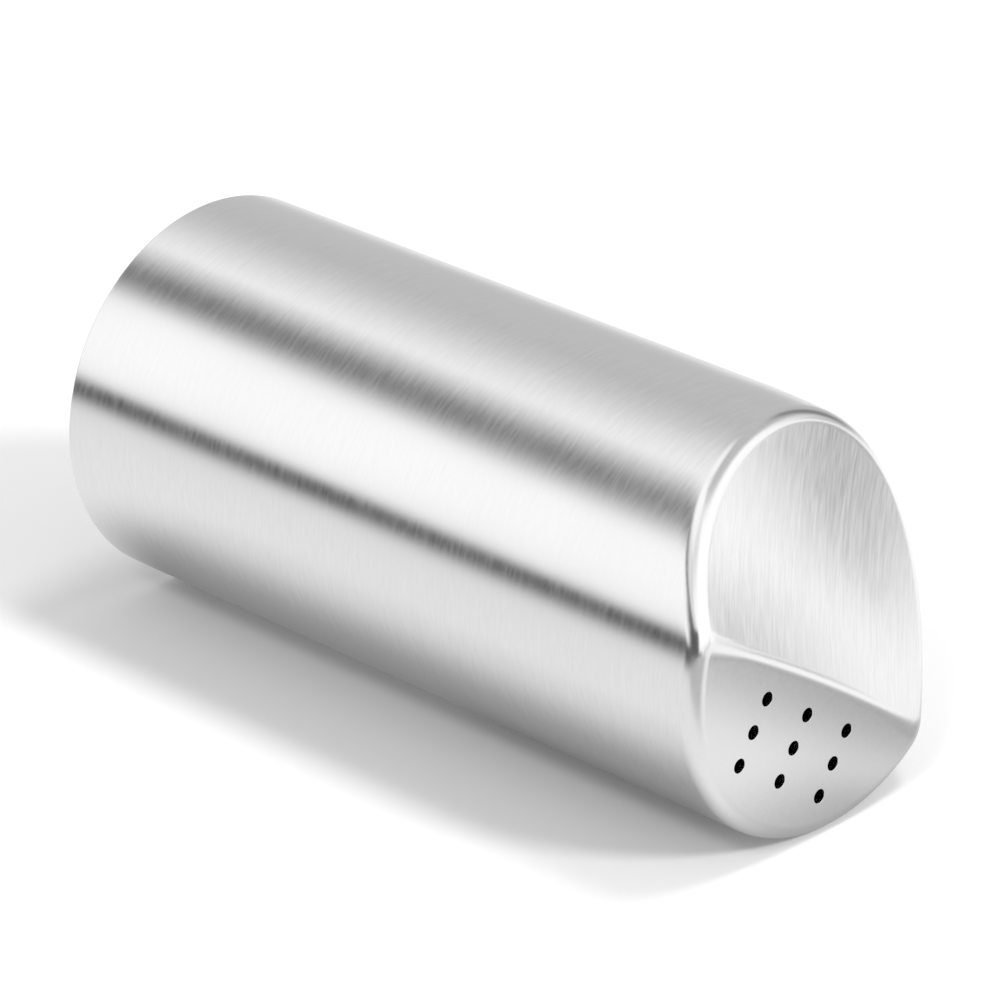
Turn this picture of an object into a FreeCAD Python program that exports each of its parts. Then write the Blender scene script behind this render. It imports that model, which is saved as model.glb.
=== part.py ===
"""Handheld stainless spice shaker with a thumb scoop and a pierced sprinkle face, in millimetres.

The shaker stands on the rim of its foot. The origin is the centre of that rim, +Z runs up the axis to
the head, and the sprinkle face lies at the front, towards -Y. The scoop falls away from it to the back.
"""
import FreeCAD, Part
import math
import os
import Sketcher

# Driving sizes: alias, value in millimetres (counts have no unit), what it is

SHELL_SIZES = [
    ("body_diameter", 40.0, "outside of the tube"),
    ("body_height", 85.5, "foot rim to the flat sprinkle face"),
    ("shell_wall", 0.7, "sheet of the drawn shell"),
    ("head_bend_inside", 0.7, "inside radius of the rolled rim and ridge"),
    ("foot_bevel", 0.3, "bevel round the outer edge of the foot rim"),
    ("ridge_forward", 4.0, "axis to the middle of the ridge, towards the front"),
    ("ridge_bow", 196.0, "plan radius of the ridge, whose ends curve to the front"),
    ("scoop_drop", 10.0, "ridge down to the scoop's low edge at the back"),
    ("scoop_radius", 95.0, "hollow of the scoop along the middle"),
    ("outlet_diameter", 1.45, "one pierced outlet"),
    ("outlet_forward", 10.85, "axis to the middle row of outlets"),
    ("outlet_pitch_across", 6.8, "outlet spacing along the ridge"),
    ("outlet_pitch_deep", 3.35, "outlet spacing from front to back"),
    ("outlet_columns", 3, "outlets along the ridge"),
    ("outlet_rows", 3, "rows from front to back"),
]

PLATE_SIZES = [
    ("plate_wall", 0.6, "sheet of the base plate"),
    ("plate_bevel_inside", 0.5, "bevel on the hollow side of the plate's bends"),
    ("plate_recess", 3.0, "foot rim up to the plate's underside"),
    ("plate_press", 0.02, "radial interference of the skirt in the tube"),
    ("skirt_inset", 0.6, "foot rim up to the edge of the skirt"),
    ("filler_diameter", 24.0, "bore of the filling neck"),
    ("neck_height", 4.5, "plate's underside to the top of the neck"),
]

STOPPER_SIZES = [
    ("stopper_length", 7.0, "plate's underside to the inner end"),
    ("stopper_wall", 1.4, "moulded wall"),
    ("stopper_clearance", 0.25, "radial gap between the stopper's body and the neck"),
    ("lead_in", 0.8, "chamfer of the inner end"),
    ("flange_overlap", 2.5, "flange beyond the filling neck's bore"),
    ("flange_thickness", 1.4, "flange"),
    ("flange_bevel", 0.4, "bevel round the flange"),
    ("recess_draft", 0.3, "narrowing of the finger recess towards its floor"),
    ("grip_width", 3.0, "bar across the finger recess"),
    ("grip_round", 0.6, "rounded edge of the bar"),
    ("seal_section", 1.8, "height and depth of the square seal ring"),
    ("seal_bevel", 0.4, "bevel on the seal ring's outer corners"),
    ("seal_clearance", 0.08, "radial running gap of the seal ring in the neck"),
    ("seal_play", 0.05, "gap of the seal ring in its groove"),
    ("seal_height", 3.0, "plate's underside to the middle of the seal ring"),
]

COMMON_SIZES = [
    ("overrun", 1.0, "how far every cutting tool runs past the metal"),
    ("tolerance", 0.001, "how closely an edge is looked for"),
]

# Sizes worked out from the driving sizes

WORKED_OUT = [
    ("body_radius", "=body_diameter / 2"),
    ("bore_radius", "=body_radius - shell_wall"),
    ("head_round", "=head_bend_inside + shell_wall"),
    ("scoop_length", "=body_radius + ridge_forward"),
    ("scoop_chord", "=sqrt(scoop_length ^ 2 + scoop_drop ^ 2)"),
    ("scoop_rise", "=sqrt(scoop_radius ^ 2 - scoop_chord ^ 2 / 4)"),
    ("scoop_centre_back", "=scoop_length / 2 - ridge_forward + scoop_rise * scoop_drop / scoop_chord"),
    ("scoop_centre_up", "=body_height - scoop_drop / 2 + scoop_rise * scoop_length / scoop_chord"),
    ("bow_centre_back", "=-(ridge_bow + ridge_forward)"),
    ("scoop_half_turn", "=asin((body_radius + overrun) / (ridge_bow - overrun)) / 1deg"),
    ("plate_bevel_outside", "=plate_bevel_inside + plate_wall * (2 - sqrt(2))"),
    ("plate_top", "=plate_recess + plate_wall"),
    ("skirt_radius", "=bore_radius + plate_press"),
    ("skirt_inner_radius", "=skirt_radius - plate_wall"),
    ("filler_radius", "=filler_diameter / 2"),
    ("neck_radius", "=filler_radius + plate_wall"),
    ("neck_top", "=plate_recess + neck_height"),
    ("seal_outer_radius", "=filler_radius - seal_clearance"),
    ("seal_inner_radius", "=seal_outer_radius - seal_section"),
    ("seal_up", "=plate_recess + seal_height"),
    ("groove_radius", "=seal_inner_radius - seal_play"),
    ("groove_half", "=seal_section / 2 + seal_play"),
    ("stopper_radius", "=filler_radius - stopper_clearance"),
    ("stopper_end", "=plate_recess + stopper_length"),
    ("flange_radius", "=filler_radius + flange_overlap"),
    ("flange_under", "=plate_recess - flange_thickness"),
    ("recess_radius", "=groove_radius - stopper_wall"),
    ("recess_floor", "=stopper_end - stopper_wall"),
]

doc = FreeCAD.newDocument("spice_shaker")


def size_sheet():
    """The spreadsheet with every size under its alias."""
    sheet = doc.addObject("Spreadsheet::Sheet", "sizes")
    row = 1
    for alias, number, note in SHELL_SIZES + PLATE_SIZES + STOPPER_SIZES + COMMON_SIZES:
        sheet.set(f"A{row}", alias)
        sheet.set(f"B{row}", str(number))
        sheet.set(f"C{row}", note)
        sheet.setAlias(f"B{row}", alias)
        row += 1
    for alias, formula in WORKED_OUT:
        sheet.set(f"A{row}", alias)
        sheet.setAlias(f"B{row}", alias)
        sheet.set(f"B{row}", formula)
        row += 1
    doc.recompute()
    return sheet


sheet = size_sheet()


def value(formula):
    """The number that a formula in the sheet's aliases has now."""
    return float(sheet.evalExpression(formula))


# Helpers for sketches and edges

def new_body(label):
    """An empty body whose label is the piece's name."""
    body = doc.addObject("PartDesign::Body", label)
    body.Label = label
    return body


def new_sketch(body, role, name):
    """A sketch on one of the body's own origin planes."""
    sketch = body.newObject("Sketcher::SketchObject", name)
    plane = next(item for item in body.Origin.OriginFeatures if item.Role == role)
    sketch.AttachmentSupport = [(plane, "")]
    sketch.MapMode = "FlatFace"
    return sketch


def spot(across, up):
    """A sketch point from two formulas."""
    return FreeCAD.Vector(value(across), value(up), 0)


def pin(sketch, item, end, across, up):
    """Hold one point of the sketch at two bound distances from the sketch's origin."""
    for kind, axis, formula in (("DistanceX", -2, across), ("DistanceY", -1, up)):
        if formula == "0":
            sketch.addConstraint(Sketcher.Constraint("PointOnObject", item, end, axis))
            continue
        name = f"{kind}_{item}_{end}"
        sketch.addConstraint(Sketcher.Constraint(kind, -1, 1, item, end, value(formula)))
        sketch.renameConstraint(sketch.ConstraintCount - 1, name)
        sketch.setExpression(f"Constraints.{name}", formula)


def outline(sketch, corners):
    """A closed outline of straight lines between corners given as pairs of formulas."""
    count = len(corners)
    for index, corner in enumerate(corners):
        line = Part.LineSegment(spot(*corner), spot(*corners[(index + 1) % count]))
        sketch.addGeometry(line)
    for index, corner in enumerate(corners):
        sketch.addConstraint(Sketcher.Constraint("Coincident", index, 2, (index + 1) % count, 1))
        pin(sketch, index, 1, *corner)


def bound_circle(sketch, across, up, radius):
    """A circle with its centre and radius bound to formulas."""
    item = sketch.addGeometry(Part.Circle(spot(across, up), FreeCAD.Vector(0, 0, 1), value(radius)))
    pin(sketch, item, 3, across, up)
    sketch.addConstraint(Sketcher.Constraint("Radius", item, value(radius)))
    sketch.renameConstraint(sketch.ConstraintCount - 1, "circle_radius")
    sketch.setExpression("Constraints.circle_radius", radius)


def revolve(body, sketch, name):
    """A full turn of the sketch about the body's upright axis."""
    turned = body.newObject("PartDesign::Revolution", name)
    turned.Profile = sketch
    turned.ReferenceAxis = (sketch, ["V_Axis"])
    turned.Angle = 360
    doc.recompute()
    return turned


def round_edges(body, base, edges, name, radius):
    """A fillet with its radius bound to a formula."""
    fillet = body.newObject("PartDesign::Fillet", name)
    fillet.Base = (base, edges)
    fillet.setExpression("Radius", radius)
    doc.recompute()
    return fillet


def bevel_edges(body, base, edges, name, size):
    """A chamfer of 45 degrees with its size bound to a formula."""
    chamfer = body.newObject("PartDesign::Chamfer", name)
    chamfer.Base = (base, edges)
    chamfer.setExpression("Size", size)
    doc.recompute()
    return chamfer


def middle(edge):
    """The point half way along an edge."""
    start, end = edge.ParameterRange
    return edge.valueAt((start + end) / 2)


def from_axis(point):
    """How far a point lies from the shaker's axis."""
    return math.hypot(point.x, point.y)


def near(one, other):
    """Whether two lengths agree within the tolerance."""
    return abs(one - other) < value("sizes.tolerance")


def edges_where(shape, test):
    """The names of the edges whose middle point passes a test."""
    return [f"Edge{index}" for index, edge in enumerate(shape.Edges, 1) if test(middle(edge))]


def ring_edges(shape, radius, height):
    """The names of the circles about the axis with this radius and height."""
    return edges_where(shape, lambda at: near(from_axis(at), value(radius)) and near(at.z, value(height)))


def has_cut(before, after, name):
    """Stop if a cutting feature took nothing away."""
    if after.Shape.Volume > before.Shape.Volume * 0.9999:
        raise RuntimeError(name + " removed nothing")


# Shaker body: one drawn tube closed by its formed head

def scoop_profile(body):
    """What the scoop takes away, seen from the side: hollow arc below, square above."""
    sketch = new_sketch(body, "YZ_Plane", "scoop_profile")
    centre = spot("sizes.scoop_centre_back", "sizes.scoop_centre_up")
    radius = value("sizes.scoop_radius")
    top = value("sizes.body_height + sizes.overrun")
    back = value("sizes.body_radius + sizes.overrun")
    front_end = FreeCAD.Vector(centre.x - math.sqrt(radius ** 2 - (centre.y - top) ** 2), top, 0)
    back_end = FreeCAD.Vector(back, centre.y - math.sqrt(radius ** 2 - (centre.x - back) ** 2), 0)
    corner = FreeCAD.Vector(back, top, 0)
    turns = [math.atan2(end.y - centre.y, end.x - centre.x) for end in (front_end, back_end)]
    circle = Part.Circle(centre, FreeCAD.Vector(0, 0, 1), radius)
    hollow = sketch.addGeometry(Part.ArcOfCircle(circle, *turns))
    rear = sketch.addGeometry(Part.LineSegment(back_end, corner))
    lid = sketch.addGeometry(Part.LineSegment(corner, front_end))
    sketch.addConstraint(Sketcher.Constraint("Coincident", hollow, 2, rear, 1))
    sketch.addConstraint(Sketcher.Constraint("Coincident", rear, 2, lid, 1))
    sketch.addConstraint(Sketcher.Constraint("Coincident", lid, 2, hollow, 1))
    sketch.addConstraint(Sketcher.Constraint("Vertical", rear))
    sketch.addConstraint(Sketcher.Constraint("Horizontal", lid))
    pin(sketch, hollow, 3, "sizes.scoop_centre_back", "sizes.scoop_centre_up")
    pin(sketch, rear, 2, "sizes.body_radius + sizes.overrun", "sizes.body_height + sizes.overrun")
    sketch.addConstraint(Sketcher.Constraint("Radius", hollow, radius))
    sketch.renameConstraint(sketch.ConstraintCount - 1, "hollow_radius")
    sketch.setExpression("Constraints.hollow_radius", "sizes.scoop_radius")
    foot = FreeCAD.Vector(value("sizes.bow_centre_back"), 0, 0)
    head = FreeCAD.Vector(foot.x, value("sizes.body_height"), 0)
    axis = sketch.addGeometry(Part.LineSegment(foot, head), True)
    pin(sketch, axis, 1, "sizes.bow_centre_back", "0")
    pin(sketch, axis, 2, "sizes.bow_centre_back", "sizes.body_height")
    return sketch


def outlet_grid(body, wall):
    """The outlets pierced through the flat sprinkle face, in columns and rows."""
    sketch = new_sketch(body, "XY_Plane", "outlet_circle")
    sketch.setExpression("AttachmentOffset.Base.z", "sizes.body_height")
    first_column = "-sizes.outlet_pitch_across * (sizes.outlet_columns - 1) / 2"
    first_row = "-sizes.outlet_forward - sizes.outlet_pitch_deep * (sizes.outlet_rows - 1) / 2"
    bound_circle(sketch, first_column, first_row, "sizes.outlet_diameter / 2")
    outlet = body.newObject("PartDesign::Pocket", "outlet")
    outlet.Profile = sketch
    outlet.setExpression("Length", "sizes.shell_wall + sizes.overrun")
    doc.recompute()
    has_cut(wall, outlet, "outlet")
    grid = body.newObject("PartDesign::MultiTransform", "outlet_grid")
    grid.Originals = [outlet]
    body.Tip = grid
    lines = []
    for name, axis, pitch, count in (
        ("outlet_column_line", "H_Axis", "outlet_pitch_across", "outlet_columns"),
        ("outlet_row_line", "V_Axis", "outlet_pitch_deep", "outlet_rows"),
    ):
        line = body.newObject("PartDesign::LinearPattern", name)
        line.Direction = (sketch, [axis])
        line.setExpression("Length", f"sizes.{pitch} * (sizes.{count} - 1)")
        line.setExpression("Occurrences", f"sizes.{count}")
        lines.append(line)
    grid.Transformations = lines
    body.Tip = grid
    doc.recompute()
    has_cut(outlet, grid, "outlet_grid")


def shaker_body():
    """The tube, the scoop pressed into its head, the rolled edges, one even wall and the outlets."""
    body = new_body("shaker_body")
    disc = new_sketch(body, "XY_Plane", "tube_circle")
    bound_circle(disc, "0", "0", "sizes.body_radius")
    tube = body.newObject("PartDesign::Pad", "tube")
    tube.Profile = disc
    tube.setExpression("Length", "sizes.body_height")
    doc.recompute()

    scoop = body.newObject("PartDesign::Groove", "scoop")
    profile = scoop_profile(body)
    scoop.Profile = profile
    scoop.ReferenceAxis = (profile, ["Axis0"])
    scoop.Midplane = True
    scoop.setExpression("Angle", "2 * sizes.scoop_half_turn")
    body.Tip = scoop
    doc.recompute()
    has_cut(tube, scoop, "scoop")

    radius = value("sizes.body_radius")
    height = value("sizes.body_height")
    low_edge = value("sizes.body_height - sizes.scoop_drop - sizes.overrun")
    ridge = edges_where(scoop.Shape, lambda at: near(at.z, height) and from_axis(at) < radius / 2)
    rim = edges_where(scoop.Shape, lambda at: near(from_axis(at), radius) and at.z > low_edge)
    rolled = round_edges(body, scoop, ridge + rim, "rolled_edges", "sizes.head_round")

    foot = [f"Face{index}" for index, face in enumerate(rolled.Shape.Faces, 1) if near(face.BoundBox.ZMax, 0)]
    wall = body.newObject("PartDesign::Thickness", "even_wall")
    wall.Base = (rolled, foot)
    wall.setExpression("Value", "sizes.shell_wall")
    wall.Reversed = True
    doc.recompute()
    has_cut(rolled, wall, "even_wall")

    foot_edge = ring_edges(wall.Shape, "sizes.body_radius", "0")
    bevelled = bevel_edges(body, wall, foot_edge, "foot_edge", "sizes.foot_bevel")
    outlet_grid(body, bevelled)
    return body


# Base plate: a pressed disc with a turned-down skirt and a filling neck drawn up

def base_plate():
    body = new_body("base_plate")
    section = new_sketch(body, "XZ_Plane", "plate_section")
    outline(section, [
        ("sizes.skirt_radius", "sizes.skirt_inset"),
        ("sizes.skirt_radius", "sizes.plate_top"),
        ("sizes.neck_radius", "sizes.plate_top"),
        ("sizes.neck_radius", "sizes.neck_top"),
        ("sizes.filler_radius", "sizes.neck_top"),
        ("sizes.filler_radius", "sizes.plate_recess"),
        ("sizes.skirt_inner_radius", "sizes.plate_recess"),
        ("sizes.skirt_inner_radius", "sizes.skirt_inset"),
    ])
    sheet_metal = revolve(body, section, "sheet_metal")
    shape = sheet_metal.Shape
    outer_bends = ring_edges(shape, "sizes.skirt_radius", "sizes.plate_top")
    outer_bends += ring_edges(shape, "sizes.filler_radius", "sizes.plate_recess")
    outer = bevel_edges(body, sheet_metal, outer_bends, "outer_bends", "sizes.plate_bevel_outside")
    inner_bends = ring_edges(outer.Shape, "sizes.skirt_inner_radius", "sizes.plate_recess")
    inner_bends += ring_edges(outer.Shape, "sizes.neck_radius", "sizes.plate_top")
    bevel_edges(body, outer, inner_bends, "inner_bends", "sizes.plate_bevel_inside")
    return body


# Stopper: a moulded plug with a flange, a groove for the seal ring and a bar in its finger recess

def base_stopper():
    body = new_body("base_stopper")
    section = new_sketch(body, "XZ_Plane", "stopper_section")
    outline(section, [
        ("0", "sizes.recess_floor"),
        ("sizes.recess_radius - sizes.recess_draft", "sizes.recess_floor"),
        ("sizes.recess_radius", "sizes.flange_under"),
        ("sizes.flange_radius", "sizes.flange_under"),
        ("sizes.flange_radius", "sizes.plate_recess"),
        ("sizes.stopper_radius", "sizes.plate_recess"),
        ("sizes.stopper_radius", "sizes.seal_up - sizes.groove_half"),
        ("sizes.groove_radius", "sizes.seal_up - sizes.groove_half"),
        ("sizes.groove_radius", "sizes.seal_up + sizes.groove_half"),
        ("sizes.stopper_radius", "sizes.seal_up + sizes.groove_half"),
        ("sizes.stopper_radius", "sizes.stopper_end - sizes.lead_in"),
        ("sizes.stopper_radius - sizes.lead_in", "sizes.stopper_end"),
        ("0", "sizes.stopper_end"),
    ])
    plug = revolve(body, section, "plug")
    flange_edges = ring_edges(plug.Shape, "sizes.flange_radius", "sizes.flange_under")
    flange_edges += ring_edges(plug.Shape, "sizes.flange_radius", "sizes.plate_recess")
    moulded = bevel_edges(body, plug, flange_edges, "flange_edge", "sizes.flange_bevel")

    footprint = new_sketch(body, "XY_Plane", "grip_footprint")
    footprint.setExpression("AttachmentOffset.Base.z", "sizes.flange_under")
    reach = "sizes.recess_radius + sizes.stopper_wall / 2"
    outline(footprint, [
        (f"-({reach})", "-sizes.grip_width / 2"),
        (reach, "-sizes.grip_width / 2"),
        (reach, "sizes.grip_width / 2"),
        (f"-({reach})", "sizes.grip_width / 2"),
    ])
    grip = body.newObject("PartDesign::Pad", "grip")
    grip.Profile = footprint
    grip.setExpression("Length", "sizes.recess_floor - sizes.flange_under + sizes.stopper_wall / 2")
    doc.recompute()
    if grip.Shape.Volume <= moulded.Shape.Volume:
        raise RuntimeError("grip added nothing")
    half_width = value("sizes.grip_width / 2")
    under = value("sizes.flange_under")
    long_edges = edges_where(grip.Shape, lambda at: near(abs(at.y), half_width) and near(at.z, under))
    round_edges(body, grip, long_edges, "grip_edges", "sizes.grip_round")
    return body


# Seal ring: a square rubber ring in the stopper's groove, its outer corners bevelled to slide in

def stopper_seal():
    body = new_body("stopper_seal")
    section = new_sketch(body, "XZ_Plane", "seal_section_outline")
    top = "sizes.seal_up + sizes.seal_section / 2"
    under = "sizes.seal_up - sizes.seal_section / 2"
    outline(section, [
        ("sizes.seal_inner_radius", under),
        ("sizes.seal_outer_radius - sizes.seal_bevel", under),
        ("sizes.seal_outer_radius", under + " + sizes.seal_bevel"),
        ("sizes.seal_outer_radius", top + " - sizes.seal_bevel"),
        ("sizes.seal_outer_radius - sizes.seal_bevel", top),
        ("sizes.seal_inner_radius", top),
    ])
    revolve(body, section, "ring")
    return body


pieces = [shaker_body(), base_plate(), base_stopper(), stopper_seal()]
doc.recompute()

for item in doc.Objects:
    if "Invalid" in item.State or "Error" in item.State:
        raise RuntimeError(item.Name + " did not build: " + str(item.State))
for piece in pieces:
    shape = piece.Shape
    if shape.isNull() or not shape.isValid() or len(shape.Solids) != 1:
        raise RuntimeError(piece.Label + " is not one sound solid")

os.makedirs("parts", exist_ok=True)
for piece in pieces:
    piece.Shape.exportStep(f"parts/{piece.Label}.step")
    print(piece.Label, "volume", round(piece.Shape.Volume, 2), "faces", len(piece.Shape.Faces))
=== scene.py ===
"""Brushed steel spice shaker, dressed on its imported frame.

The shaker stands upright on its foot. The photograph shows it lying on its side, so the white
surface is set against the tube's side and the camera is rolled to match.
"""
import math

import bmesh
import bpy
from mathutils import Matrix, Vector, geometry


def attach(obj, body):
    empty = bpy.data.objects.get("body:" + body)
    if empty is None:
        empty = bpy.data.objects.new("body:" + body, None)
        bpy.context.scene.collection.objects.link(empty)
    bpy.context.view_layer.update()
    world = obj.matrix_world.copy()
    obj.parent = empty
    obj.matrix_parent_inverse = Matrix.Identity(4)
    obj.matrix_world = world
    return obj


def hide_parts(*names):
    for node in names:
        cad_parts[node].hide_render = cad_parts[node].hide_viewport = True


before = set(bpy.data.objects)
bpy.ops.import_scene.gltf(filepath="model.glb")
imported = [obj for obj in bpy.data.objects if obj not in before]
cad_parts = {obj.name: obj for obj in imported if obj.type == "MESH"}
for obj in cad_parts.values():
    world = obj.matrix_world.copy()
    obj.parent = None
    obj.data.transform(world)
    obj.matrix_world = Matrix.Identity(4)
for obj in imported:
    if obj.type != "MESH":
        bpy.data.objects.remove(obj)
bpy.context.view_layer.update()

MM = 0.001

# Sizes of the drawn shell, in mm
TUBE_RADIUS = 20.0
BODY_HEIGHT = 85.5
WALL = 0.7
RIM_ROUND = 1.7
RIDGE_ROUND = 2.8
RIDGE_END_ROUND = 6.0
RIDGE_END_FROM = 11.0
FOOT_ROUND = 0.3
RIDGE_FORWARD = 4.0
RIDGE_BOW = 196.0
SCOOP_DROP = 10.0
SCOOP_RADIUS = 95.0
OUTLET_RADIUS = 0.725
OUTLET_FORWARD = 10.85
OUTLET_PITCH_ACROSS = 6.8
OUTLET_PITCH_ALONG = 3.35
OUTLET_LIP = 0.05
# The tube draws in a little under the back of the rim: depth, run, angles where it starts and is whole
DRAWN_IN = 0.35
DRAWN_RUN = 9.0
DRAWN_FROM = math.radians(105)
DRAWN_WHOLE = math.radians(150)

# Steps of the shell's mesh
FRONT_STEPS = 22
BAND_STEPS = 16
BACK_STEPS = 34
BAND_WIDTH = 2.1
ROUND_STEPS = 12
ACROSS_STEPS = 48
TUBE_STEPS = 14
DRAWN_STEPS = 7
OUTLET_STEPS = 40
LIP_STEPS = 3
SETTLE_STEPS = 8
RIDGE_ROWS = 3
# Steps of the rim's round that the tube's brushing runs on over
BRUSHED_STEPS = 3

# Finishes of the shell's mesh, by material slot
TUBE_FINISH, SCOOP_FINISH, SATIN_FINISH, INSIDE_FINISH = range(4)


# Head surfaces

def smooth_share(value, low, high):
    """0 below low, 1 above high and smooth between."""
    share = min(1.0, max(0.0, (value - low) / (high - low)))
    return share * share * (3 - 2 * share)


def turned(start, end, share):
    """Direction part of the way from one unit vector to another."""
    angle = start.angle(end)
    if angle < 1e-6:
        return start.copy()
    return (start * math.sin((1 - share) * angle) + end * math.sin(share * angle)) / math.sin(angle)


def rounded(first, second, radius):
    """Distance and direction to two walls joined by a round.
    Each wall is given as its (distance, normal)."""
    high = max(first, second, key=lambda wall: wall[0])
    cosine = first[1].dot(second[1])
    sine_square = 1 - cosine * cosine
    if sine_square < 1e-9:
        return high
    one = first[0] + radius
    other = second[0] + radius
    if one <= other * cosine or other <= one * cosine or one + other <= 0:
        return high
    along_first = first[1] * (one - other * cosine) / sine_square
    along_second = second[1] * (other - one * cosine) / sine_square
    reach = along_first + along_second
    return reach.length - radius, reach.normalized()


class HeadForm:
    """The tube, the flat face and the scoop, joined by rounds.
    The scoop is a hollow arc turned about a far upright axis in front of the tube."""

    def __init__(self):
        run = TUBE_RADIUS + RIDGE_FORWARD
        chord = math.hypot(run, SCOOP_DROP)
        rise = math.sqrt(SCOOP_RADIUS ** 2 - chord ** 2 / 4)
        self.far = RIDGE_BOW + RIDGE_FORWARD
        self.back = run / 2 - RIDGE_FORWARD + rise * SCOOP_DROP / chord
        self.high = BODY_HEIGHT - SCOOP_DROP / 2 + rise * run / chord

    def distance(self, x, y):
        """How far behind the tube's axis a place lies, measured out from the far axis."""
        return math.hypot(x, y + self.far) - self.far

    def place(self, x, distance):
        """The y of the place with this x at this distance."""
        return math.sqrt((distance + self.far) ** 2 - x ** 2) - self.far

    def scoop(self, point):
        """Distance above the scoop, and its normal."""
        lean = self.back - self.distance(point.x, point.y)
        steep = self.high - point.z
        length = math.hypot(lean, steep)
        outward = Vector((point.x, point.y + self.far, 0)).normalized()
        return SCOOP_RADIUS - length, (outward * lean + Vector((0, 0, steep))) / length

    def level(self, point):
        """Distance outside the shell's outer skin, and its normal."""
        reach = math.hypot(point.x, point.y)
        out = Vector((point.x, point.y, 0)) / reach if reach else Vector((0, 0, 0))
        ends = smooth_share(abs(point.x), RIDGE_END_FROM, TUBE_RADIUS)
        ridge_round = RIDGE_ROUND + (RIDGE_END_ROUND - RIDGE_ROUND) * ends
        face = (point.z - BODY_HEIGHT, Vector((0, 0, 1)))
        head = rounded(face, self.scoop(point), ridge_round)
        if reach < TUBE_RADIUS / 2:
            return head
        drawn = DRAWN_IN * smooth_share(math.atan2(abs(point.x), -point.y), DRAWN_FROM, DRAWN_WHOLE)
        edge = out * TUBE_RADIUS
        run = min(1.0, max(0.0, 1 - (self.height(edge.x, edge.y) - point.z) / DRAWN_RUN))
        steep = Vector((0, 0, 2 * drawn * run / DRAWN_RUN))
        tube = (reach - TUBE_RADIUS + drawn * run * run, (out + steep).normalized())
        return rounded(tube, head, RIM_ROUND)

    def settle(self, point):
        """The nearby point of the outer skin, and its normal."""
        for _ in range(SETTLE_STEPS):
            gap, normal = self.level(point)
            point = point - normal * gap
        return point, normal

    def height(self, x, y):
        """Height of the sharp face or scoop, before the rounds."""
        lean = self.back - self.distance(x, y)
        return min(BODY_HEIGHT, self.high - math.sqrt(SCOOP_RADIUS ** 2 - lean ** 2))


class Skin:
    """Faces with exact corner normals, gathered in mm and made into one mesh in metres."""

    def __init__(self):
        self.points = []
        self.found = {}
        self.faces = []
        self.normals = []
        self.finishes = []

    def index(self, point):
        key = (round(point.x, 5), round(point.y, 5), round(point.z, 5))
        if key not in self.found:
            self.found[key] = len(self.points)
            self.points.append(point.copy())
        return self.found[key]

    def face(self, corners, finish):
        """One face of (point, normal) corners, in order round it. Corners that coincide are merged,
        and the face looks the way that its normals point."""
        kept = []
        for point, normal in corners:
            place = self.index(point)
            if all(place != other for other, _ in kept):
                kept.append((place, normal))
        if len(kept) < 3:
            return
        outward = sum((normal for _, normal in kept), Vector())
        if geometry.normal([self.points[place] for place, _ in kept]).dot(outward) < 0:
            kept.reverse()
        self.faces.append([place for place, _ in kept])
        self.normals.extend(normal for _, normal in kept)
        self.finishes.append(finish)

    def sheet(self, corners, finish, wall):
        """A face of the outer skin and its twin on the inner skin."""
        self.face(corners, finish)
        inner = [(point - normal * wall, -normal) for point, normal in reversed(corners)]
        self.face(inner, INSIDE_FINISH)

    def strips(self, rows, finish, wall=None):
        """Faces between neighbouring rows of (point, normal) corners."""
        for low, high in zip(rows, rows[1:]):
            for step in range(len(low) - 1):
                corners = [low[step], low[step + 1], high[step + 1], high[step]]
                if wall is None:
                    self.face(corners, finish)
                else:
                    self.sheet(corners, finish, wall)

    def mesh(self, name):
        mesh = bpy.data.meshes.new(name)
        mesh.from_pydata([point * MM for point in self.points], [], self.faces)
        mesh.polygons.foreach_set("material_index", self.finishes)
        mesh.polygons.foreach_set("use_smooth", [True] * len(self.faces))
        mesh.normals_split_custom_set([normal.normalized() for normal in self.normals])
        mesh.update()
        return mesh


def rim_angles(form):
    """Angles of the stations round the rim, from the front to the back."""
    track = TUBE_RADIUS - RIM_ROUND

    def angle_at(distance):
        low, high = 0.0, math.pi
        for _ in range(50):
            middle = (low + high) / 2
            if form.distance(track * math.sin(middle), -track * math.cos(middle)) < distance:
                low = middle
            else:
                high = middle
        return high

    band_start = angle_at(-RIDGE_FORWARD - BAND_WIDTH)
    band_end = angle_at(-RIDGE_FORWARD + BAND_WIDTH)
    angles = [band_start * step / FRONT_STEPS for step in range(FRONT_STEPS)]
    angles += [band_start + (band_end - band_start) * step / BAND_STEPS for step in range(BAND_STEPS)]
    angles += [band_end + (math.pi - band_end) * step / BACK_STEPS for step in range(BACK_STEPS + 1)]
    return angles


def mirrored(vector, side):
    return Vector((vector.x * side, vector.y, vector.z))


def rim_section(form, angle, side):
    """Column up the tube and arc over the rim at one station."""
    out = Vector((math.sin(angle), -math.cos(angle), 0))
    spot = out * (TUBE_RADIUS - RIM_ROUND)
    top, direction = form.settle(Vector((spot.x, spot.y, form.height(spot.x, spot.y))))
    centre = top - direction * RIM_ROUND
    arc = []
    for step in range(ROUND_STEPS + 1):
        arc.append(form.settle(centre + turned(out, direction, step / ROUND_STEPS) * RIM_ROUND))
    straight = arc[0][0].z - DRAWN_RUN
    column = []
    for step in range(TUBE_STEPS):
        rise = FOOT_ROUND + (straight - FOOT_ROUND) * step / TUBE_STEPS
        column.append((out * TUBE_RADIUS + Vector((0, 0, rise)), out))
    for step in range(DRAWN_STEPS):
        rise = straight + DRAWN_RUN * step / DRAWN_STEPS
        column.append(form.settle(out * TUBE_RADIUS + Vector((0, 0, rise))))
    column.append(arc[0])
    parts = []
    for part in (column, arc):
        parts.append([(mirrored(point, side), mirrored(normal, side)) for point, normal in part])
    return parts


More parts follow.
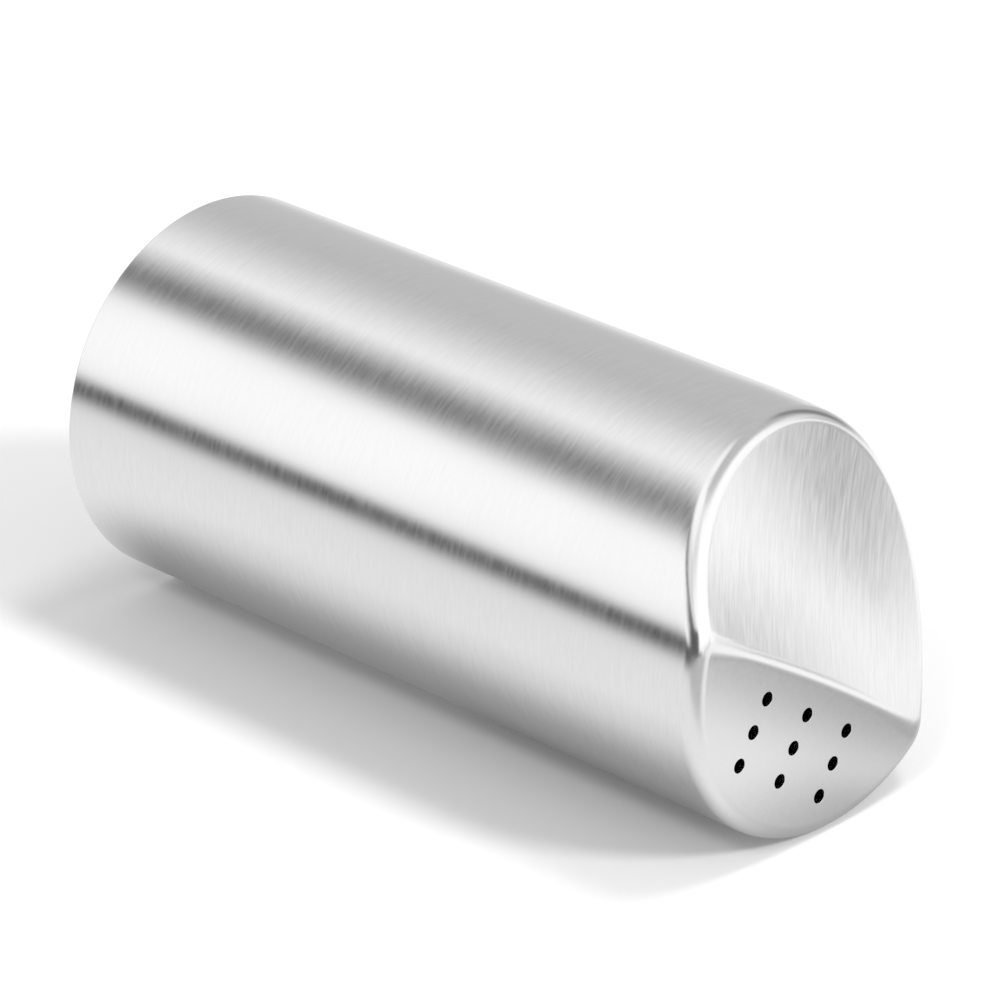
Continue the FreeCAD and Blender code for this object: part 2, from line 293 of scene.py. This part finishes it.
def foot_ring(skin, starts):
    """Rolled outer edge, flat ring and inner wall at the foot, from where the tube's columns start."""
    down = Vector((0, 0, -1))
    rows = []
    for start, out in starts:
        inner = start - out * WALL
        inner_low = inner + down * FOOT_ROUND
        row = [(inner, -out), (inner_low, -out), (inner_low, down)]
        centre = start - out * FOOT_ROUND
        for step in range(LIP_STEPS):
            normal = turned(down, out, step / LIP_STEPS)
            row.append((centre + normal * FOOT_ROUND, normal))
        rows.append(row + [(start, out)])
    for left, right in zip(rows, rows[1:]):
        skin.face([left[0], left[1], right[1], right[0]], INSIDE_FINISH)
        for step in range(2, len(left) - 1):
            skin.face([left[step], left[step + 1], right[step + 1], right[step]], SATIN_FINISH)


def outlet_centres():
    for column in (-1, 0, 1):
        for row in (-1, 0, 1):
            y = row * OUTLET_PITCH_ALONG - OUTLET_FORWARD
            yield Vector((column * OUTLET_PITCH_ACROSS, y, BODY_HEIGHT))


def ring(centre, radius, drop=0.0):
    points = []
    for step in range(OUTLET_STEPS):
        angle = 2 * math.pi * step / OUTLET_STEPS
        points.append(centre + Vector((radius * math.cos(angle), radius * math.sin(angle), -drop)))
    return points


def sprinkle_face(skin, boundary):
    """The flat face inside its boundary, pierced by the outlets."""
    flat = bmesh.new()
    loops = [boundary] + [ring(centre, OUTLET_RADIUS + OUTLET_LIP) for centre in outlet_centres()]
    edges = []
    for loop in loops:
        corners = [flat.verts.new(point) for point in loop]
        for start, end in zip(corners, corners[1:] + corners[:1]):
            edges.append(flat.edges.new((start, end)))
    bmesh.ops.triangle_fill(flat, use_beauty=True, use_dissolve=False, edges=edges)
    up = Vector((0, 0, 1))
    for face in flat.faces:
        points = [corner.co.copy() for corner in face.verts]
        if face.normal.z < 0 or (points[1] - points[0]).cross(points[2] - points[0]).z < 0:
            points.reverse()
        skin.sheet([(point, up) for point in points], SATIN_FINISH, WALL)
    flat.free()


def outlet_walls(skin):
    """Rolled lip and straight wall of each outlet, through the sheet."""
    up = Vector((0, 0, 1))
    for centre in outlet_centres():
        rows = []
        for step in range(OUTLET_STEPS + 1):
            angle = 2 * math.pi * step / OUTLET_STEPS
            out = Vector((math.cos(angle), math.sin(angle), 0))
            if step == OUTLET_STEPS:
                out = Vector((1, 0, 0))
            row = []
            lip = centre + out * (OUTLET_RADIUS + OUTLET_LIP) - up * OUTLET_LIP
            for turn in range(LIP_STEPS + 1):
                normal = turned(up, -out, turn / LIP_STEPS)
                row.append((lip + normal * OUTLET_LIP, normal))
            row.append((centre + out * OUTLET_RADIUS - up * (WALL - OUTLET_LIP), -out))
            low = centre + out * (OUTLET_RADIUS + OUTLET_LIP) - up * WALL
            row.append((low, (-out - up).normalized()))
            rows.append(row)
        for left, right in zip(rows, rows[1:]):
            for step in range(len(left) - 1):
                skin.face([left[step], left[step + 1], right[step + 1], right[step]], SATIN_FINISH)


def shell_mesh():
    """The whole drawn shell: tube, rolled rim, scoop, ridge, pierced face and inner skin."""
    form = HeadForm()
    angles = rim_angles(form)
    skin = Skin()
    right = [rim_section(form, angle, 1) for angle in angles]
    left = [rim_section(form, angle, -1) for angle in angles]
    sections = right + left[-2::-1]
    for near, far in zip(sections, sections[1:]):
        column, arc = ([list(pair) for pair in zip(near[part], far[part])] for part in (0, 1))
        skin.strips(column, TUBE_FINISH, WALL)
        skin.strips(arc[:BRUSHED_STEPS + 1], TUBE_FINISH, WALL)
        skin.strips(arc[BRUSHED_STEPS:], SATIN_FINISH, WALL)
    foot_ring(skin, [column[0] for column, _ in sections])

    rows = []
    for start, end in zip(left[FRONT_STEPS:], right[FRONT_STEPS:]):
        start, end = start[1][-1], end[1][-1]
        distance = form.distance(end[0].x, end[0].y)
        row = [start]
        for step in range(1, ACROSS_STEPS):
            x = end[0].x * (2 * step / ACROSS_STEPS - 1)
            y = form.place(x, distance)
            row.append(form.settle(Vector((x, y, form.height(x, y)))))
        rows.append(row + [end])
    ridge_to = BAND_STEPS // 2 + RIDGE_ROWS
    skin.strips(rows[:ridge_to + 1], SATIN_FINISH, WALL)
    skin.strips(rows[ridge_to:], SCOOP_FINISH, WALL)

    right_side = [section[1][-1][0] for section in right[:FRONT_STEPS]]
    left_side = [section[1][-1][0] for section in left[FRONT_STEPS - 1:0:-1]]
    ridge_line = [point for point, _ in reversed(rows[0])]
    sprinkle_face(skin, right_side + ridge_line + left_side)
    outlet_walls(skin)
    return skin.mesh("shaker_shell")


# Materials

STEEL = (0.8, 0.8, 0.805)
# The noise mostly stays between these values
NOISE_LOW = 0.3
NOISE_HIGH = 0.7
# Brushing: share of the fine lines, how coarse the others are, and cycles per mm of faint clouds
FINE_SHARE = 0.75
COARSE_SCALE = 0.4
CLOUD_SCALE = (0.06, 0.06, 0.06)
# Moulded pieces: cycles per mm of handling marks, their change of roughness, and the grain's strength
HANDLING_SCALE = (0.15, 0.15, 0.15)
HANDLING_UNEVEN = 0.06
GRAIN_STRENGTH = 0.6


def new_material(name):
    material = bpy.data.materials.new(name)
    material.use_nodes = True
    material.node_tree.nodes.clear()
    return material


class Nodes:
    """Short calls for one node tree."""

    def __init__(self, tree):
        self.tree = tree

    def add(self, kind, **values):
        node = self.tree.nodes.new(kind)
        for name, value in values.items():
            setattr(node, name, value)
        return node

    def join(self, source, target):
        self.tree.links.new(source, target)

    def math(self, operation, first, second=None):
        node = self.add("ShaderNodeMath", operation=operation)
        for socket, value in zip(node.inputs, (first, second)):
            if value is None:
                continue
            if isinstance(value, (int, float)):
                socket.default_value = value
            else:
                self.join(value, socket)
        return node.outputs[0]

    def dot(self, source, direction):
        node = self.add("ShaderNodeVectorMath", operation="DOT_PRODUCT")
        self.join(source, node.inputs[0])
        node.inputs[1].default_value = direction
        return node.outputs["Value"]

    def noise(self, source, stretch, detail=2.0, roughness=0.5):
        """Noise in object space with this many cycles per mm along x, y and z."""
        mapping = self.add("ShaderNodeMapping")
        mapping.inputs["Scale"].default_value = [value / MM for value in stretch]
        self.join(source, mapping.inputs["Vector"])
        node = self.add("ShaderNodeTexNoise")
        node.inputs["Scale"].default_value = 1.0
        node.inputs["Detail"].default_value = detail
        node.inputs["Roughness"].default_value = roughness
        self.join(mapping.outputs[0], node.inputs["Vector"])
        return node.outputs["Fac"]

    def spread(self, source, low, high):
        """Noise stretched to a range of values."""
        node = self.add("ShaderNodeMapRange")
        node.inputs["From Min"].default_value = NOISE_LOW
        node.inputs["From Max"].default_value = NOISE_HIGH
        node.inputs["To Min"].default_value = low
        node.inputs["To Max"].default_value = high
        self.join(source, node.inputs["Value"])
        return node.outputs["Result"]

    def bump(self, height, strength, distance):
        node = self.add("ShaderNodeBump")
        node.inputs["Strength"].default_value = strength
        node.inputs["Distance"].default_value = distance * MM
        self.join(height, node.inputs["Height"])
        return node.outputs["Normal"]

    def tint(self, source, dark, light):
        """Colour between two colours by a value from 0 to 1."""
        node = self.add("ShaderNodeMix", data_type="RGBA")
        self.join(source, node.inputs[0])
        node.inputs[6].default_value = (*dark, 1)
        node.inputs[7].default_value = (*light, 1)
        return node.outputs[2]

    def one_sided(self, shader):
        """Shader seen from the face's own side, and nothing seen from behind it."""
        clear = self.add("ShaderNodeBsdfTransparent")
        mix = self.add("ShaderNodeMixShader")
        self.join(self.add("ShaderNodeNewGeometry").outputs["Backfacing"], mix.inputs[0])
        self.join(shader, mix.inputs[1])
        self.join(clear.outputs[0], mix.inputs[2])
        return mix.outputs[0]

    def finish(self, shader):
        output = self.add("ShaderNodeOutputMaterial")
        self.join(shader, output.inputs["Surface"])


def steel_material(name, lines, roughness, uneven, anisotropic=0.0, tangent=None, streak=0.03,
                   relief=0.0015, shade=1.0):
    """Brushed or satin steel. The lines are cycles per mm along x, y and z."""
    material = new_material(name)
    nodes = Nodes(material.node_tree)
    place = nodes.add("ShaderNodeTexCoord").outputs["Object"]
    fine = nodes.noise(place, lines, 2.0, 0.6)
    coarse = nodes.noise(place, [value * COARSE_SCALE for value in lines], 2.0, 0.5)
    cloud = nodes.noise(place, CLOUD_SCALE, 2.0, 0.5)
    fine = nodes.math("MULTIPLY", fine, FINE_SHARE)
    mixed = nodes.math("ADD", fine, nodes.math("MULTIPLY", coarse, 1 - FINE_SHARE))
    shader = nodes.add("ShaderNodeBsdfPrincipled")
    shader.inputs["Metallic"].default_value = 1.0
    dark = [value * shade * (1 - streak) for value in STEEL]
    light = [min(1.0, value * shade * (1 + streak)) for value in STEEL]
    nodes.join(nodes.tint(nodes.spread(mixed, 0, 1), dark, light), shader.inputs["Base Color"])
    rough = nodes.spread(mixed, roughness - uneven, roughness + uneven)
    rough = nodes.math("ADD", rough, nodes.spread(cloud, -uneven * 0.5, uneven * 0.5))
    nodes.join(rough, shader.inputs["Roughness"])
    nodes.join(nodes.bump(mixed, 1.0, relief), shader.inputs["Normal"])
    if anisotropic:
        shader.inputs["Anisotropic"].default_value = anisotropic
        axis, rotation = tangent
        shader.inputs["Anisotropic Rotation"].default_value = rotation
        direction = nodes.add("ShaderNodeTangent", direction_type="RADIAL", axis=axis)
        nodes.join(direction.outputs[0], shader.inputs["Tangent"])
    nodes.finish(shader.outputs[0])
    return material


def moulded_material(name, dark, light, roughness, grain, relief, specular=0.5):
    """Moulded plastic or rubber with a fine grain and slight handling marks."""
    material = new_material(name)
    nodes = Nodes(material.node_tree)
    place = nodes.add("ShaderNodeTexCoord").outputs["Object"]
    fine = nodes.noise(place, (grain, grain, grain), 2.0, 0.6)
    cloud = nodes.noise(place, HANDLING_SCALE, 3.0, 0.55)
    shader = nodes.add("ShaderNodeBsdfPrincipled")
    shader.inputs["Specular IOR Level"].default_value = specular
    nodes.join(nodes.tint(nodes.spread(cloud, 0, 1), dark, light), shader.inputs["Base Color"])
    rough = nodes.spread(cloud, roughness - HANDLING_UNEVEN, roughness + HANDLING_UNEVEN)
    nodes.join(rough, shader.inputs["Roughness"])
    nodes.join(nodes.bump(fine, GRAIN_STRENGTH, relief), shader.inputs["Normal"])
    nodes.finish(shader.outputs[0])
    return material


def finish_node(name, material):
    """Gives a carried-over solid its material."""
    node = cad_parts[name]
    node.data.materials.clear()
    node.data.materials.append(material)


# Shell

shell = bpy.data.objects.new("shaker_shell", shell_mesh())
bpy.context.scene.collection.objects.link(shell)
for finish in (
    steel_material("tube_brushed", (0.45, 0.45, 3.4), 0.22, 0.03, 0.80, ("Z", 0.25), relief=0.0025),
    steel_material("scoop_brushed", (3.4, 0.3, 0.3), 0.17, 0.02, 0.90, ("X", 0.25), 0.05, 0.0012),
    steel_material("head_satin", (2.5, 2.5, 2.5), 0.21, 0.02, streak=0.015, relief=0.0006),
    steel_material("inside_dull", (1.0, 1.0, 2.0), 0.5, 0.05, shade=0.75, streak=0.08),
):
    shell.data.materials.append(finish)
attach(shell, "shaker")
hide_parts("shaker_body")

finish_node("base_plate", steel_material(
    "plate_pressed", (1.5, 1.5, 1.5), 0.36, 0.04, streak=0.04, shade=0.92))
finish_node("base_stopper", moulded_material(
    "stopper_moulded", (0.045, 0.045, 0.05), (0.06, 0.06, 0.065), 0.5, 4.0, 0.02))
finish_node("stopper_seal", moulded_material(
    "seal_moulded", (0.56, 0.54, 0.51), (0.66, 0.64, 0.61), 0.6, 2.0, 0.01, 0.4))


# View of the shaker as it lies, in lengths of the tube's radius

LYING_TURN = math.radians(33.35)
AXIS_LYING = Vector((0, 0, 1))
TOWARD_VIEWER = Vector((-math.cos(LYING_TURN), -math.sin(LYING_TURN), 0))
SKYWARD = Vector((-math.sin(LYING_TURN), math.cos(LYING_TURN), 0))


def lying(along, toward, above):
    """Direction or place given along the lying tube, toward the viewer and above its axis."""
    return AXIS_LYING * along + TOWARD_VIEWER * toward + SKYWARD * above


VIEW_TURN = 0.775568754
VIEW_DROP = 0.436157976
VIEW_DISTANCE = 27.1309563
LENS_PIXELS = 5519.97
FRAME_PIXELS = 1000
SENSOR = 36.0

camera_right = lying(math.cos(VIEW_TURN), -math.sin(VIEW_TURN), 0)
level_back = lying(math.sin(VIEW_TURN), math.cos(VIEW_TURN), 0)
camera_back = level_back * math.cos(VIEW_DROP) + SKYWARD * math.sin(VIEW_DROP)
camera_up = SKYWARD * math.cos(VIEW_DROP) - level_back * math.sin(VIEW_DROP)
target = lying(2.06551305, 0, 0.00349918513)
camera_place = (target + camera_back * VIEW_DISTANCE) * TUBE_RADIUS * MM

camera_data = bpy.data.cameras.new("view")
camera_data.sensor_width = SENSOR
camera_data.lens = SENSOR * LENS_PIXELS / FRAME_PIXELS
camera_data.clip_start = 0.01
camera = bpy.data.objects.new("view", camera_data)
turn = Matrix((camera_right, camera_up, camera_back)).transposed().to_4x4()
camera.matrix_world = Matrix.Translation(camera_place) @ turn
bpy.context.scene.collection.objects.link(camera)
bpy.context.scene.camera = camera


# White surface under the lying tube, seen from above it only

SURFACE_HALF = 2.0
SURFACE_ALONG = 0.04
SURFACE_WHITE = (0.95, 0.95, 0.95, 1)
surface_mesh = bpy.data.meshes.new("surface")
surface_middle = SKYWARD * -TUBE_RADIUS * MM + AXIS_LYING * SURFACE_ALONG
surface_corners = []
for along, toward in ((-1, -1), (-1, 1), (1, 1), (1, -1)):
    surface_corners.append(surface_middle + lying(along, toward, 0) * SURFACE_HALF)
surface_mesh.from_pydata(surface_corners, [], [(0, 1, 2, 3)])
surface_mesh.update()
if surface_mesh.polygons[0].normal.dot(SKYWARD) < 0:
    surface_mesh.flip_normals()
surface = bpy.data.objects.new("surface", surface_mesh)
bpy.context.scene.collection.objects.link(surface)
surface_material = new_material("white_surface")
nodes = Nodes(surface_material.node_tree)
white = nodes.add("ShaderNodeBsdfDiffuse")
white.inputs["Color"].default_value = SURFACE_WHITE
nodes.finish(nodes.one_sided(white.outputs[0]))
surface.data.materials.append(surface_material)
surface.visible_glossy = False


# Studio that the steel reflects

# Level by angle round the lying tube, in degrees: 0 toward the viewer, 90 above, 180 away
AROUND = (
    (-180, 0.70), (-8, 0.05), (3.5, 0.05), (6.5, 0.85), (11, 1.00), (25, 1.05), (52, 1.06), (60, 0.48),
    (67, 0.16), (74, 0.16), (83, 0.52), (93, 0.92), (103, 0.80), (120, 0.59), (135, 0.51),
    (150, 0.52), (165, 0.56), (175, 0.60), (180, 0.70),
)
# The gap between the softboxes leans by this many degrees per unit of lean along the tube
GAP_LEAN = 59.0
GAP_FROM = -0.635
# It leans in full above the second of these angles, and by this share below the first
LEAN_ANGLES = (20, 60)
LEAN_BELOW = 0.1

# Panels beyond the head: bearing and elevation of the middle, half sizes and softness in degrees, level.
# Bearing 0 is along the tube beyond the head, 90 away from the viewer, -90 toward the viewer.
PANELS = (
    (6, 48, 54, 42, 7, 1.10),
    (0, 78, 180, 14, 6, 1.05),
    (106, 12, 30, 14, 5, 0.52),
    (85, -12, 25, 67, 6, 0.52, 50.6),
    (87, 18, 9, 18, 6, 0.20),
    (-66, 17, 30, 22, 4, 0.10),
    (-104, 1, 12, 6, 3, 0.10),
    (-60, -2, 40, 6, 3, 0.12),
    (50, 4, 11, 9, 3, 1.08),
    (52, -1, 9.5, 2.5, 1.2, 1.10),
    (66, -0.5, 5.5, 3, 1.5, 0.98),
    (71, 3.0, 9.5, 3.2, 0.8, 0.45),
    (-24, 62, 26, 9, 8, 0.74),
    (180, 0, 24, 20, 8, 0.70),
    (-180, 0, 24, 20, 8, 0.70),
)

# Table as the steel sees it, a glowing plane with the light and shade of the lit surface painted in:
# level by distance toward the viewer, in mm
TABLE = (
    (-900, 0.80), (-318, 0.74), (-150, 0.88), (-97, 0.97), (-30, 0.88), (30, 0.82), (60, 0.80),
    (121, 0.77), (145, 0.71), (170, 0.56), (230, 0.33), (300, 0.17), (400, 0.08),
)
# Share of that level left in the tube's contact shadow, by distance from the line of contact, in mm
CONTACT = (
    (0, 0.27), (10, 0.27), (13, 0.31), (17.6, 0.39), (21.4, 0.54), (27.8, 0.83), (38, 1.0), (40, 1.0),
)
# Stretch along the tube that has this shadow: middle, half length and softness, in mm
UNDER_TUBE = (39, 45, 9)
# Patches of painted light and painted shade on the table: middle along the tube and toward the viewer,
# half sizes and softness in mm, level, and the degrees that the patch is turned by
PATCHES = (
    (1600, -1600, 1500, 1512, 12, 0.95, 0),
    (66, -900, 18, 480, 10, 0.80, 24.95),
    (200, -880, 112, 440, 14, 1.12, 24.95),
    (0, -230, 50, 110, 12, 1.04, 24.95),
    (78, -295, 22, 91, 12, 0.10, 24.95),
    (122, -95, 28, 45, 10, 1.06, 0),
    (70, 0, 25, 10, 6, 0.55, 0),
    (280, -8, 160, 12, 8, 0.84, 0),
    (225, 80, 108, 68, 12, 0.50, 0),
    (112, -31, 26, 17, 9, 0.42, 0),
)
# How bright the studio is in the steel
STUDIO_LEVEL = 1.1625
DOME_RADIUS = 0.7
SURROUND = 0.63
# Softboxes over the shaker: lean along the tube and toward the viewer, light, and how wide each looks
SOFTBOXES = ((1.2, -0.22, 1.30), (0.2, -0.22, 0.60), (0.3, 0.9, 0.46))
SOFTBOX_WIDTH = math.radians(12)


def grey(level):
    return (level, level, level, 1)


def ramp_of(nodes, value, stops):
    """Grey level by a value, through stops of (value, level)."""
    low, high = stops[0][0], stops[-1][0]
    share = nodes.add("ShaderNodeMapRange")
    share.inputs["From Min"].default_value = low
    share.inputs["From Max"].default_value = high
    nodes.join(value, share.inputs["Value"])
    ramp = nodes.add("ShaderNodeValToRGB")
    elements = ramp.color_ramp.elements
    while len(elements) < len(stops):
        elements.new(0.5)
    for element, (at, level) in zip(elements, stops):
        element.position = (at - low) / (high - low)
        element.color = grey(level)
    nodes.join(share.outputs["Result"], ramp.inputs[0])
    return ramp.outputs["Color"]


def studio_glow(nodes, level):
    """Light of this level, as the steel sees it."""
    glow = nodes.add("ShaderNodeEmission")
    glow.inputs["Strength"].default_value = STUDIO_LEVEL
    nodes.join(level, glow.inputs["Color"])
    return glow.outputs[0]


def within(nodes, value, middle, half, softness):
    """1 within half of the middle, falling softly to 0."""
    off = nodes.math("ABSOLUTE", nodes.math("SUBTRACT", value, middle))
    edge = nodes.add("ShaderNodeMapRange", interpolation_type="SMOOTHSTEP")
    edge.inputs["From Min"].default_value = half + softness
    edge.inputs["From Max"].default_value = half - softness
    nodes.join(off, edge.inputs["Value"])
    return edge.outputs["Result"]


def darker(nodes, level, share, where):
    """Level times a share, where a mask says."""
    node = nodes.add("ShaderNodeMix", data_type="RGBA", blend_type="MULTIPLY")
    nodes.join(where, node.inputs[0])
    nodes.join(level, node.inputs[6])
    nodes.join(share, node.inputs[7])
    return node.outputs[2]


def painted(nodes, base, across, along, patches):
    """Soft rectangles of other levels laid over a base."""
    for middle_across, middle_along, half_across, half_along, softness, level, *turn in patches:
        one, other = across, along
        if turn and turn[0]:
            cosine, sine = math.cos(math.radians(turn[0])), math.sin(math.radians(turn[0]))
            one = nodes.math(
                "ADD", nodes.math("MULTIPLY", across, cosine), nodes.math("MULTIPLY", along, sine))
            other = nodes.math(
                "SUBTRACT", nodes.math("MULTIPLY", along, cosine), nodes.math("MULTIPLY", across, sine))
        inside = nodes.math(
            "MULTIPLY",
            within(nodes, one, middle_across, half_across, softness),
            within(nodes, other, middle_along, half_along, softness),
        )
        blend = nodes.add("ShaderNodeMix", data_type="RGBA")
        nodes.join(inside, blend.inputs[0])
        nodes.join(base, blend.inputs[6])
        blend.inputs[7].default_value = grey(level)
        base = blend.outputs[2]
    return base


def only_reflected(obj):
    """Seen in the steel alone: not by the camera, and casting neither light nor shadow."""
    obj.visible_camera = False
    obj.visible_diffuse = False
    obj.visible_transmission = False
    obj.visible_volume_scatter = False
    obj.visible_shadow = False
    obj.data.materials[0].cycles.emission_sampling = "NONE"
    bpy.context.scene.collection.objects.link(obj)


def dome_material():
    material = new_material("studio_dome")
    nodes = Nodes(material.node_tree)
    outward = nodes.add("ShaderNodeVectorMath", operation="NORMALIZE")
    nodes.join(nodes.add("ShaderNodeTexCoord").outputs["Object"], outward.inputs[0])
    outward = outward.outputs["Vector"]
    above = nodes.dot(outward, SKYWARD)
    toward = nodes.dot(outward, TOWARD_VIEWER)
    away = nodes.dot(outward, -TOWARD_VIEWER)
    beyond = nodes.dot(outward, AXIS_LYING)
    degrees = 180 / math.pi
    around = nodes.math("MULTIPLY", nodes.math("ARCTAN2", above, toward), degrees)
    upper = nodes.add("ShaderNodeMapRange", interpolation_type="SMOOTHSTEP")
    upper.inputs["From Min"].default_value = LEAN_ANGLES[0]
    upper.inputs["From Max"].default_value = LEAN_ANGLES[1]
    nodes.join(around, upper.inputs["Value"])
    lean = nodes.math("MULTIPLY", nodes.math("SUBTRACT", beyond, GAP_FROM), GAP_LEAN)
    leaning = nodes.math("MULTIPLY", upper.outputs["Result"], 1 - LEAN_BELOW)
    leaning = nodes.math("ADD", leaning, LEAN_BELOW)
    around = nodes.math("ADD", around, nodes.math("MULTIPLY", lean, leaning))
    bearing = nodes.math("MULTIPLY", nodes.math("ARCTAN2", away, beyond), degrees)
    elevation = nodes.math("MULTIPLY", nodes.math("ARCSINE", above), degrees)
    level = painted(nodes, ramp_of(nodes, around, AROUND), bearing, elevation, PANELS)
    nodes.finish(studio_glow(nodes, level))
    return material


def table_material():
    material = new_material("studio_table")
    nodes = Nodes(material.node_tree)
    place = nodes.add("ShaderNodeTexCoord").outputs["Object"]
    along = nodes.math("MULTIPLY", nodes.dot(place, AXIS_LYING), 1 / MM)
    toward = nodes.math("MULTIPLY", nodes.dot(place, TOWARD_VIEWER), 1 / MM)
    level = painted(nodes, ramp_of(nodes, toward, TABLE), along, toward, PATCHES)
    shade = ramp_of(nodes, nodes.math("ABSOLUTE", toward), CONTACT)
    under = within(nodes, along, *UNDER_TUBE)
    glow = studio_glow(nodes, darker(nodes, level, shade, under))
    nodes.finish(nodes.one_sided(glow))
    return material


dome_mesh = bpy.data.meshes.new("studio_dome")
dome_form = bmesh.new()
bmesh.ops.create_icosphere(dome_form, subdivisions=5, radius=DOME_RADIUS)
dome_form.to_mesh(dome_mesh)
dome_form.free()
dome_mesh.materials.append(dome_material())
dome = bpy.data.objects.new("studio_dome", dome_mesh)
dome.location = AXIS_LYING * BODY_HEIGHT / 2 * MM
only_reflected(dome)

# Glowing table with painted light and painted shadow, seen in the steel in place of the white surface
table = bpy.data.objects.new("studio_table", surface_mesh.copy())
table.data.materials.clear()
table.data.materials.append(table_material())
only_reflected(table)

world = bpy.data.worlds.new("studio")
world.use_nodes = True
world.node_tree.nodes.clear()
bpy.context.scene.world = world
nodes = Nodes(world.node_tree)
rays = nodes.add("ShaderNodeLightPath")
seen = nodes.add("ShaderNodeBackground")
seen.inputs["Color"].default_value = grey(1)
soft = nodes.add("ShaderNodeBackground")
soft.inputs["Color"].default_value = grey(1)
soft.inputs["Strength"].default_value = SURROUND
plain = nodes.math("MAXIMUM", rays.outputs["Is Camera Ray"], rays.outputs["Is Transmission Ray"])
plain = nodes.math("MAXIMUM", plain, rays.outputs["Is Glossy Ray"])
direct = nodes.add("ShaderNodeMixShader")
nodes.join(plain, direct.inputs[0])
nodes.join(soft.outputs[0], direct.inputs[1])
nodes.join(seen.outputs[0], direct.inputs[2])
output = nodes.add("ShaderNodeOutputWorld")
nodes.join(direct.outputs[0], output.inputs["Surface"])

for number, (beyond, forward, energy) in enumerate(SOFTBOXES):
    to_light = SKYWARD + TOWARD_VIEWER * forward + AXIS_LYING * beyond
    sun_data = bpy.data.lights.new(f"softbox_{number}", "SUN")
    sun_data.energy = energy
    sun_data.angle = SOFTBOX_WIDTH
    sun = bpy.data.objects.new(f"softbox_{number}", sun_data)
    sun.rotation_euler = to_light.to_track_quat("Z", "Y").to_euler()
    sun.visible_glossy = False
    bpy.context.scene.collection.objects.link(sun)

bpy.context.scene.view_settings.view_transform = "Standard"
